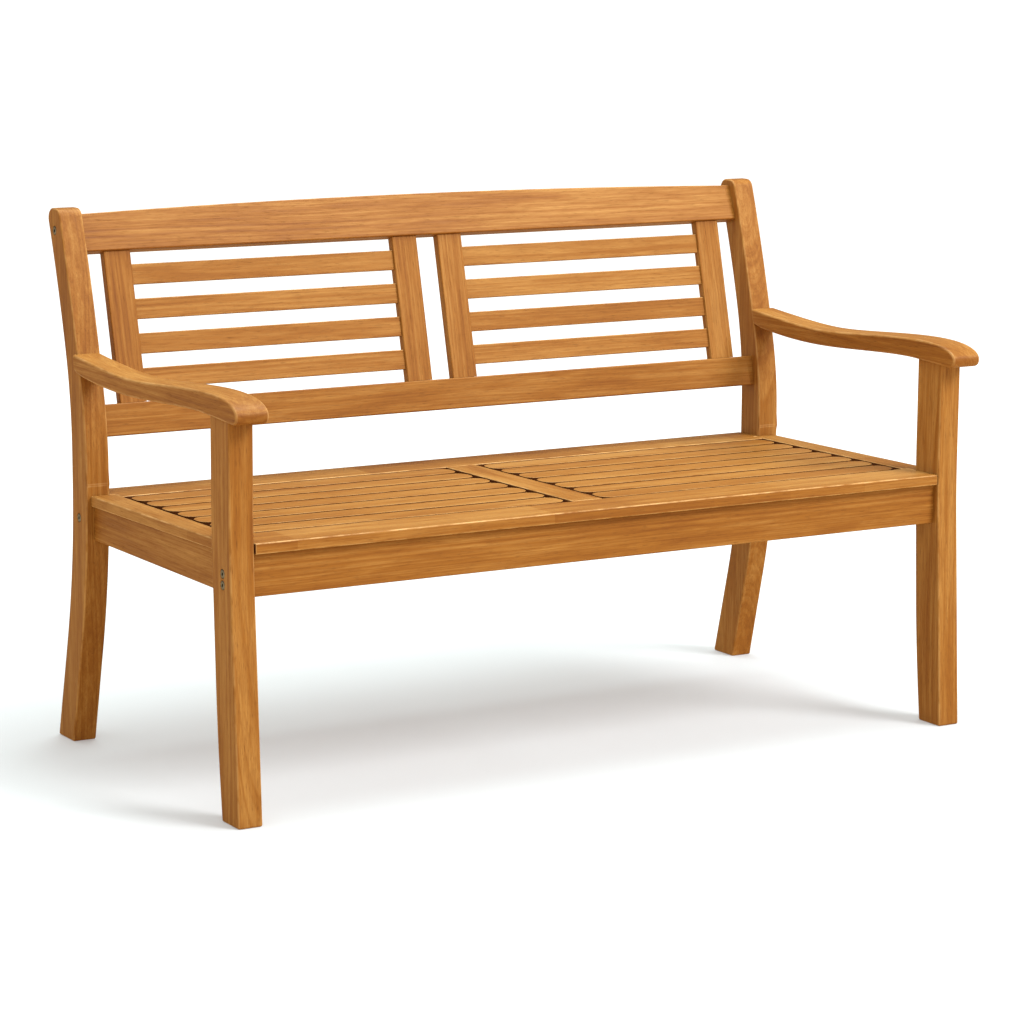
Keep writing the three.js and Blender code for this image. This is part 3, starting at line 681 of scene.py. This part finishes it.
def make_barrel_nuts():
    for name, (back, up) in BOLTS.items():
        for side, hand in ((1, "right"), (-1, "left")):
            if name == "top_rail":
                start, axis = TOP_RAIL.place(side * NUT_ACROSS, BOLT_UP_RAIL, 0.0069), TOP_RAIL.back
            else:
                start, axis = upright(side * NUT_ACROSS, back - 0.0065, up), Y
            rim = NUT_RADIUS - NUT_EASE
            rings = [
                (0, rim),
                (NUT_EASE, NUT_RADIUS),
                (NUT_LENGTH - NUT_EASE, NUT_RADIUS),
                (NUT_LENGTH, rim),
            ]
            barrel = lathe(rings, start, axis)
            end = start + axis * NUT_LENGTH
            slot_cut = box_solid(-0.006, 0.006, -0.0005, 0.0005, -0.0012, 0.001, lambda u, v, w: (
                end + Vector((u, 0, 0)) + axis.cross(X) * v + axis * w
            ))
            level = start + axis * ((Vector((0, LEG_FACE + back, up)) - start).dot(axis))
            cross_hole = lathe([(-0.01, 0.0034), (0.01, 0.0034)], level, X)
            barrel = carve(barrel, [slot_cut, cross_hole])
            settle(f"barrel_nut_{name}_{hand}_steel", barrel, axis, NUT_STEEL)


# ---------------------------------------------------------------- legs
def leg_outline(feet, leans, top, top_round=0.0):
    front = face_line(feet[0], leans[0], top)
    rear = face_line(feet[1], leans[1], top)[::-1]
    outline = front + rear
    last = len(outline) - 1
    corners = {0: LEG_EASE, last: LEG_EASE}
    if top_round:
        corners |= {len(front) - 1: top_round, len(front): top_round}
    return round_corners(outline, corners)


def make_back_posts():
    outline = leg_outline(BACK_FOOT, POST_LEAN, HEIGHT, POST_TOP_ROUND)
    for side, hand in ((1, "right"), (-1, "left")):
        post = ease_edges(carry(outline, LEG_INNER, LEG_OUTER, sideways(side)), LEG_EASE)
        post = carve(post, [bolt_hole("top_rail", side), bolt_hole("back_apron", side)])
        settle(f"back_post_{hand}_wood", post, Z, FRAME_TIMBER, 0.02)


ARM_UNDER = (0.062, 0.577)  # the flat under the front of the arm, and how it rises to the rear
ARM_UNDER_RISE = 0.054
FRONT_LEG_TOP = 0.600  # before the arm's underside trims it


def under_arm(back):
    return ARM_UNDER[1] + (back - ARM_UNDER[0]) * ARM_UNDER_RISE


def make_front_legs():
    front = face_line(FRONT_FOOT[0], FRONT_LEG_LEAN[0], FRONT_LEG_TOP)
    rear = face_line(FRONT_FOOT[1], FRONT_LEG_LEAN[1], FRONT_LEG_TOP)
    front[-1] = (front[-1][0], under_arm(front[-1][0]) - FIT)
    rear[-1] = (rear[-1][0], under_arm(rear[-1][0]) - FIT)
    outline = front + rear[::-1]
    outline = round_corners(outline, {0: LEG_EASE, len(outline) - 1: LEG_EASE})
    slope = Vector((0, -ARM_UNDER_RISE, 1)).normalized()
    for side, hand in ((1, "right"), (-1, "left")):
        place = sideways(side)
        top = place(front[-1][0], front[-1][1], 0)
        leg = ease_edges(carry(outline, LEG_INNER, LEG_OUTER, place), LEG_EASE, [(top, slope)])
        leg = carve(leg, [bolt_hole("front_apron_upper", side), bolt_hole("front_apron_lower", side)])
        settle(f"front_leg_{hand}_wood", leg, Z, FRAME_TIMBER, -0.03)


# ---------------------------------------------------------------- armrests
def arm_outline():
    """The arm dips behind its middle, swells at the front and rolls over into a round nose."""
    nose = -ARM_REACH
    nose_flat = (-0.027, under_arm(-0.027))
    rear_top = (0.525, 0.607)
    dip, swell = (0.325, 0.5944), (0.056, 0.608)
    under_dip, under_rear = (0.340, 0.568), (0.480, 0.575)
    outline = [rear_top]
    outline += bezier(rear_top, (0.440, 0.600), (0.385, dip[1]), dip, 16)
    outline += bezier(dip, (0.255, dip[1]), (0.140, swell[1]), swell, 20)
    outline += bezier(swell, (0.010, swell[1]), (nose, 0.603), (nose, 0.584), 20)
    outline += bezier((nose, 0.584), (nose, 0.577), (-0.034, 0.573), nose_flat, 8)
    outline.append(ARM_UNDER)
    outline += bezier(ARM_UNDER, (0.130, 0.580), (0.250, under_dip[1]), under_dip, 20)
    outline += bezier(under_dip, (0.400, under_dip[1]), (0.440, 0.571), under_rear, 12)
    outline += bezier(under_rear, (0.493, 0.5763), (0.507, 0.579), (0.521, 0.585), 6)
    return outline


def make_armrests():
    outline = arm_outline()
    shoulder = face_back(BACK_FOOT[0], POST_LEAN[0], ARM_SHOULDER_UP) - FIT
    for side, hand in ((1, "right"), (-1, "left")):
        place = sideways(side)
        arm = carry(outline, ARM_INNER, ARM_OUTER, place)
        for vert in arm.verts:
            back = vert.co.y - LEG_FACE
            t = min(max((back - TAPER_START) / TAPER_LENGTH, 0), 1)
            if abs(vert.co.x) < (ARM_INNER + ARM_OUTER) / 2:
                vert.co.x += side * ARM_TAPER * t * t * (3 - 2 * t)
        arm = ease_edges(arm, ARM_EASE, segments=4)
        point = place(shoulder, ARM_SHOULDER_UP, 0)
        normal = Vector((0, 1, -ARM_SHOULDER_LEAN)).normalized()
        cut = bmesh.ops.bisect_plane(
            arm,
            geom=[*arm.verts, *arm.edges, *arm.faces],
            plane_co=point,
            plane_no=normal,
            clear_outer=True,
        )
        rim = [part for part in cut["geom_cut"] if isinstance(part, bmesh.types.BMEdge)]
        bmesh.ops.contextual_create(arm, geom=rim)
        settle(f"armrest_{hand}_wood", arm, Y, FRAME_TIMBER, 0.05)


# ---------------------------------------------------------------- backrest
def rail_butts():
    inner = LEG_INNER - FIT
    return [(Vector((inner, 0, 0)), X), (Vector((-inner, 0, 0)), X)]


def make_rails():
    half = LEG_INNER - FIT
    arch = [(-half, 0), (half, 0)]
    steps = 48
    for i in range(steps + 1):
        across = half - 2 * half * i / steps
        arch.append((across, TOP_RAIL_HEIGHT + TOP_RAIL_RISE * (1 - (across / half) ** 2)))
    top = ease_edges(carry(arch, 0, RAIL_THICK, TOP_RAIL.place), EASE, rail_butts())
    holes = [hole("top_rail", side) for hole in (bolt_hole, nut_pocket) for side in (1, -1)]
    settle("top_rail_wood", carve(top, holes), X, FRAME_TIMBER, 0.0)

    straight = rectangle(-half, half, 0, LOW_RAIL_HEIGHT)
    low = ease_edges(carry(straight, 0, RAIL_THICK, LOW_RAIL.place), EASE, rail_butts())
    settle("lower_back_rail_wood", low, X, FRAME_TIMBER, 0.06)


STILES = {
    "outer_left": -STILE_OUTER - STILE_WIDTH,
    "inner_left": -STILE_INNER - STILE_WIDTH,
    "inner_right": STILE_INNER,
    "outer_right": STILE_OUTER,
}


def slat_foot(i):
    return BACK_SLAT_FOOT + i * BACK_SLAT_PITCH


def meet(start, direction, point, normal):
    """Where a line meets a plane."""
    return start + direction * ((point - start).dot(normal) / direction.dot(normal))


def make_stiles():
    low_face = LOW_RAIL.place(0, LOW_RAIL_HEIGHT + FIT, 0), LOW_RAIL.up
    top_face = TOP_RAIL.place(0, -FIT, 0), TOP_RAIL.up
    corners = []
    for depth, face in ((0, low_face), (0, top_face), (STILE_THICK, top_face), (STILE_THICK, low_face)):
        corner = meet(PANEL.place(0, 0, depth), PANEL.up, *face)
        corners.append((corner.y - LEG_FACE, corner.z))
    for name, across in STILES.items():
        stile = carry(corners, across, across + STILE_WIDTH, sideways())
        stile = ease_edges(stile, SLAT_EASE, [low_face, top_face])
        slat_side = across + STILE_WIDTH if name in ("outer_left", "inner_right") else across
        housings = [
            box_solid(
                slat_side - HOUSED - FIT,
                slat_side + HOUSED + FIT,
                slat_foot(i) - FIT,
                slat_foot(i) + BACK_SLAT_HEIGHT + FIT,
                BACK_SLAT_DEPTHS[0] - FIT,
                BACK_SLAT_DEPTHS[1] + FIT,
                PANEL.place,
            )
            for i in range(SLAT_COUNT)
        ]
        shade = {"outer_left": 0.10, "inner_left": 0.02, "inner_right": 0.06, "outer_right": 0.0}[name]
        settle(f"stile_{name}_wood", carve(stile, housings), PANEL.up, FRAME_TIMBER, shade)


def make_back_slats():
    inner = STILE_INNER + STILE_WIDTH - HOUSED
    outer = STILE_OUTER + HOUSED
    for side, hand in ((1, "right"), (-1, "left")):
        for i in range(SLAT_COUNT):
            ends = sorted((side * inner, side * outer))
            outline = rectangle(*ends, slat_foot(i), slat_foot(i) + BACK_SLAT_HEIGHT)
            slat = ease_edges(carry(outline, *BACK_SLAT_DEPTHS, PANEL.place), BACK_SLAT_EASE)
            shade = 0.06 * math.sin(2.3 * i + side)
            settle(f"back_slat_{hand}_{i + 1}_wood", slat, X, SLAT_TIMBER, shade)


# ---------------------------------------------------------------- seat
FRONT_BOARD = (0.5936, 0.080)  # half its length, and its depth
END_BOARD = (0.586, 0.5936, 0.626)  # its inner edge, the edge of its notch and its outer edge
BACK_BOARD = (0.466, 0.4918, 0.547)  # its front edge, its shoulders and its rear edge
DIVIDER_HALF = 0.026
SEAT_SLAT = (0.0468, 0.0074)  # width and gap
SLAT_CORNER = 0.019
SLAT_LEVELS = (-0.015, -0.0007)
TONGUE_LEVELS = (-0.012, -0.006)
TONGUE = 0.008
TONGUE_INSET = 0.013
TONGUE_PLAY = 0.0004
GROOVE_RUN = (0.060, 0.500)  # the grooves' front and rear ends
END_GAP = 0.006
SHOULDER_GAP = 0.0006  # clearance where a board or side apron meets a leg's curved face


def leg_rear_at(up):
    return face_back(FRONT_FOOT[1], FRONT_LEG_LEAN[1], up) + SHOULDER_GAP


def post_front_at(up):
    return face_back(BACK_FOOT[0], POST_LEAN[0], up) - SHOULDER_GAP


def seat_top(back):
    return SEAT_TOP - (LEG_FACE + back - SEAT_FRONT) * math.tan(math.radians(SEAT_FALL))


def seat_underside(back):
    return seat_top(back) - SEAT_THICK - FIT


def paint_gap_shade(bm, beside_gap):
    """Marks the upright faces that stand beside a narrow gap, which the timber darkens there as painted
    shade.
    """
    bm.normal_update()
    gap = bm.faces.layers.float.new("gap")
    for face in bm.faces:
        face[gap] = float(abs(face.normal.z) < 0.6 and beside_gap(face.calc_center_median()))
    return bm


def seat_board(name, outline, shade, beside_gap, cutters=(), along=X):
    board = ease_edges(carry(outline, -SEAT_THICK, 0, seat_level), EASE)
    if cutters:
        board = carve(board, cutters)
    board = paint_gap_shade(board, beside_gap)
    settle(f"{name}_wood", board, along, BOARD_TIMBER, shade)


def groove(edge):
    reach = TONGUE + TONGUE_PLAY
    low, high = TONGUE_LEVELS[0] - FIT, TONGUE_LEVELS[1] + FIT
    return box_solid(edge - reach, edge + reach, *GROOVE_RUN, low, high, seat_level)


def make_seat_boards():
    half, depth = FRONT_BOARD
    reach = 0.001  # how near to a gap a flank is
    behind = SEAT_FRONT + depth - reach
    seat_board(
        "seat_front_board",
        rectangle(-half, half, 0, depth),
        -0.02,
        lambda at: at.y > behind or abs(at.x) > half - reach,
    )

    front, shoulder, rear = BACK_BOARD
    neck, wide = END_BOARD[0] - FIT, LEG_INNER - FIT
    seat_board("seat_back_board", [
        (-neck, front), (neck, front), (neck, shoulder), (wide, shoulder),
        (wide, rear), (-wide, rear), (-wide, shoulder), (-neck, shoulder),
    ], 0.02, lambda at: at.y < SEAT_FRONT + shoulder + reach or abs(at.x) > wide - reach)

    inner, notch, outer = END_BOARD
    start = depth + FIT
    to_seat = LEG_FACE - SEAT_FRONT
    leg_rear, post_front = leg_rear_at(SEAT_TOP) + to_seat, post_front_at(seat_top(shoulder)) + to_seat
    for side, hand in ((1, "right"), (-1, "left")):
        outline = [
            (side * inner, start), (side * notch, start), (side * notch, leg_rear),
            (side * outer, leg_rear), (side * outer, post_front), (side * inner, post_front),
        ]
        seat_board(
            f"seat_end_board_{hand}",
            outline,
            0.0,
            lambda at: abs(at.x) < outer - reach,
            [groove(side * inner)],
            along=Y,
        )

    middle = rectangle(-DIVIDER_HALF, DIVIDER_HALF, start, front - FIT)
    grooves = [groove(DIVIDER_HALF), groove(-DIVIDER_HALF)]
    seat_board("seat_centre_board", middle, 0.0, lambda at: True, grooves, along=Y)


def make_seat_slats():
    width, gap = SEAT_SLAT
    near, far = DIVIDER_HALF + END_GAP, END_BOARD[0] - END_GAP
    for side, hand in ((1, "right"), (-1, "left")):
        for i in range(SEAT_SLATS):
            front = FRONT_BOARD[1] + gap + i * (width + gap)
            ends = sorted((side * near, side * far))
            corners = {number: SLAT_CORNER for number in range(4)}
            outline = round_corners(rectangle(*ends, front, front + width), corners)
            slat = ease_edges(carry(outline, *SLAT_LEVELS, seat_level), SEAT_SLAT_EASE)
            tips = sorted((side * (DIVIDER_HALF - TONGUE), side * (END_BOARD[0] + TONGUE)))
            sides = front + TONGUE_INSET, front + width - TONGUE_INSET
            tongue = box_solid(*tips, *sides, *TONGUE_LEVELS, seat_level)
            shade = 0.05 * math.sin(1.7 * i + 2.0 * side)
            slat = paint_gap_shade(carve(slat, [tongue], "UNION"), lambda at: True)
            settle(f"seat_slat_{i + 1}_{hand}_wood", slat, X, SEAT_SLAT_TIMBER, shade)


# ---------------------------------------------------------------- aprons
FRONT_APRON = (0.010, 0.034)  # its front and rear faces
BACK_APRON = (0.510, 0.532)
CENTRE_RAIL_HALF = 0.013


def make_aprons():
    half = LEG_INNER - FIT
    layout = {
        "front_apron": (*FRONT_APRON, ("front_apron_upper", "front_apron_lower"), 0.04),
        "back_apron": (*BACK_APRON, ("back_apron",), 0.0),
    }
    for name, (front, rear, bolts, shade) in layout.items():
        outline = rectangle(front, rear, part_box(name)[0].z, seat_underside(rear))
        apron = ease_edges(carry(outline, -half, half, sideways()), EASE, rail_butts())
        cutters = [
            hole(bolt, side)
            for bolt in bolts
            for side in (1, -1)
            for hole in (bolt_hole, nut_pocket)
        ]
        settle(f"{name}_wood", carve(apron, cutters), X, FRAME_TIMBER, shade)

    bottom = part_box("side_apron_right")[0].z
    low = leg_rear_at(bottom), post_front_at(bottom)
    tops = [seat_underside(back) for back in low]
    outline = [
        (low[0], bottom),
        (low[1], bottom),
        (post_front_at(tops[1]), tops[1]),
        (leg_rear_at(tops[0]), tops[0]),
    ]
    inner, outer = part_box("side_apron_right")[0].x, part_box("side_apron_right")[1].x
    for side, hand in ((1, "right"), (-1, "left")):
        place = sideways(side)
        butts = []
        for foot, head in ((outline[0], outline[3]), (outline[1], outline[2])):
            across_end = Vector((0, head[1] - foot[1], foot[0] - head[0])).normalized()
            butts.append((place(*foot, 0), across_end))
        apron = ease_edges(carry(outline, inner, outer, place), EASE, butts)
        settle(f"side_apron_{hand}_wood", apron, Y, FRAME_TIMBER, 0.05)

    front, rear = FRONT_APRON[1] + FIT, BACK_APRON[0] - FIT
    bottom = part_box("centre_rail")[0].z
    outline = [
        (front, bottom),
        (rear, bottom),
        (rear, seat_underside(rear)),
        (front, seat_underside(front)),
    ]
    butts = [(upright(0, front, 0), Y), (upright(0, rear, 0), Y)]
    rail = ease_edges(carry(outline, -CENTRE_RAIL_HALF, CENTRE_RAIL_HALF, sideways()), EASE, butts)
    settle("centre_rail_wood", rail, Y, FRAME_TIMBER, 0.0)


make_back_posts()
make_front_legs()
make_armrests()
make_rails()
make_stiles()
make_back_slats()
make_seat_boards()
make_seat_slats()
make_aprons()
make_bolts()
make_barrel_nuts()


# ---------------------------------------------------------------- floor, light and camera
PALE_PAINT = (0.54, 0.56, 0.575, 1)
WARM_BOUNCE = (0.48, 0.39, 0.24, 1)  # the light the floor sends back up is warmer than its paint
WARM_GLOW = (1, 0.76, 0.47, 1)


def make_floor():
    bm = bmesh.new()
    bmesh.ops.create_grid(bm, x_segments=1, y_segments=1, size=60)
    floor = bpy.data.objects.new("floor", mesh_of(bm, "floor"))
    bpy.context.collection.objects.link(floor)
    material = bpy.data.materials.new("pale floor")
    material.use_nodes = True
    tree = material.node_tree
    shader = tree.nodes["Principled BSDF"]
    seen = tree.nodes.new("ShaderNodeLightPath").outputs["Is Camera Ray"]
    paint = mix(tree, seen, WARM_BOUNCE, PALE_PAINT)
    link(tree, paint, shader.inputs["Base Color"])
    # The floor glows a little, and more away from the bench, to stay as pale as its lit middle.
    position = tree.nodes.new("ShaderNodeTexCoord").outputs["Object"]
    away = length_of(tree, position)
    glow = ramp(tree, away, 1.3, 3.5, 0.22, 0.60)
    glow = add(tree, "ShaderNodeCombineColor", None, i0=glow, i1=glow, i2=glow).outputs[0]
    tint = mix(tree, seen, WARM_GLOW, (1, 1, 1, 1))
    link(tree, mix(tree, 1.0, glow, tint, "MULTIPLY"), shader.inputs["Emission Color"])
    shader.inputs["Emission Strength"].default_value = 1.0
    shader.inputs["Roughness"].default_value = 0.9
    shader.inputs["Specular IOR Level"].default_value = 0.1
    floor.data.materials.append(material)


def softbox(name, place, aim, size, watts, colour=(1, 1, 1)):
    light = bpy.data.lights.new(name, "AREA")
    light.shape = "DISK"
    light.size = size
    light.energy = watts
    light.color = colour
    lamp = bpy.data.objects.new(name, light)
    lamp.location = place
    lamp.rotation_euler = (Vector(aim) - Vector(place)).to_track_quat("-Z", "Y").to_euler()
    bpy.context.collection.objects.link(lamp)


def light_studio():
    softbox("key softbox", (4.7, -6.7, 7.2), (0, 0, 0.4), 4.6, 985)
    softbox("overhead softbox", (0.3, 0.2, 3.6), (0, 0, 0), 2.4, 125, (0.86, 1, 1))
    world = bpy.data.worlds.new("studio")
    world.use_nodes = True
    tree = world.node_tree
    background = tree.nodes["Background"]
    background.inputs["Color"].default_value = (1, 0.97, 0.91, 1)
    background.inputs["Strength"].default_value = 0.95
    seen = add(tree, "ShaderNodeBackground", None, Color=(1, 1, 1, 1), Strength=1.0)
    mirrored = add(tree, "ShaderNodeBackground", None, Color=(1, 0.95, 0.88, 1), Strength=0.25)
    rays = tree.nodes.new("ShaderNodeLightPath").outputs
    joined = background.outputs[0]
    for ray, other in (("Is Glossy Ray", mirrored), ("Is Camera Ray", seen)):
        mixed = add(tree, "ShaderNodeMixShader", None, i0=rays[ray], i1=joined, i2=other.outputs[0])
        joined = mixed.outputs[0]
    link(tree, joined, tree.nodes["World Output"].inputs["Surface"])
    bpy.context.scene.world = world


CAMERA_DISTANCE = 5.132
CAMERA_LENS = 117.53


def set_camera():
    """A long lens from the front left, a little above the armrests."""
    azimuth, elevation, roll = math.radians(-30.7), math.radians(10.25), math.radians(0.34)
    aim = Vector((-0.0315, LEG_FACE + 0.250, 0.3562))
    toward = Vector((
        math.sin(azimuth) * math.cos(elevation),
        -math.cos(azimuth) * math.cos(elevation),
        math.sin(elevation),
    ))
    lens = bpy.data.cameras.new("camera")
    lens.sensor_width = 36
    lens.lens = CAMERA_LENS
    lens.clip_end = 200
    camera = bpy.data.objects.new("camera", lens)
    turn = (-toward).to_track_quat("-Z", "Y").to_matrix().to_4x4()
    stand = Matrix.Translation(aim + toward * CAMERA_DISTANCE)
    camera.matrix_world = stand @ turn @ Matrix.Rotation(roll, 4, "Z")
    bpy.context.collection.objects.link(camera)
    bpy.context.scene.camera = camera


make_floor()
light_studio()
set_camera()
bpy.context.scene.view_settings.view_transform = "Standard"
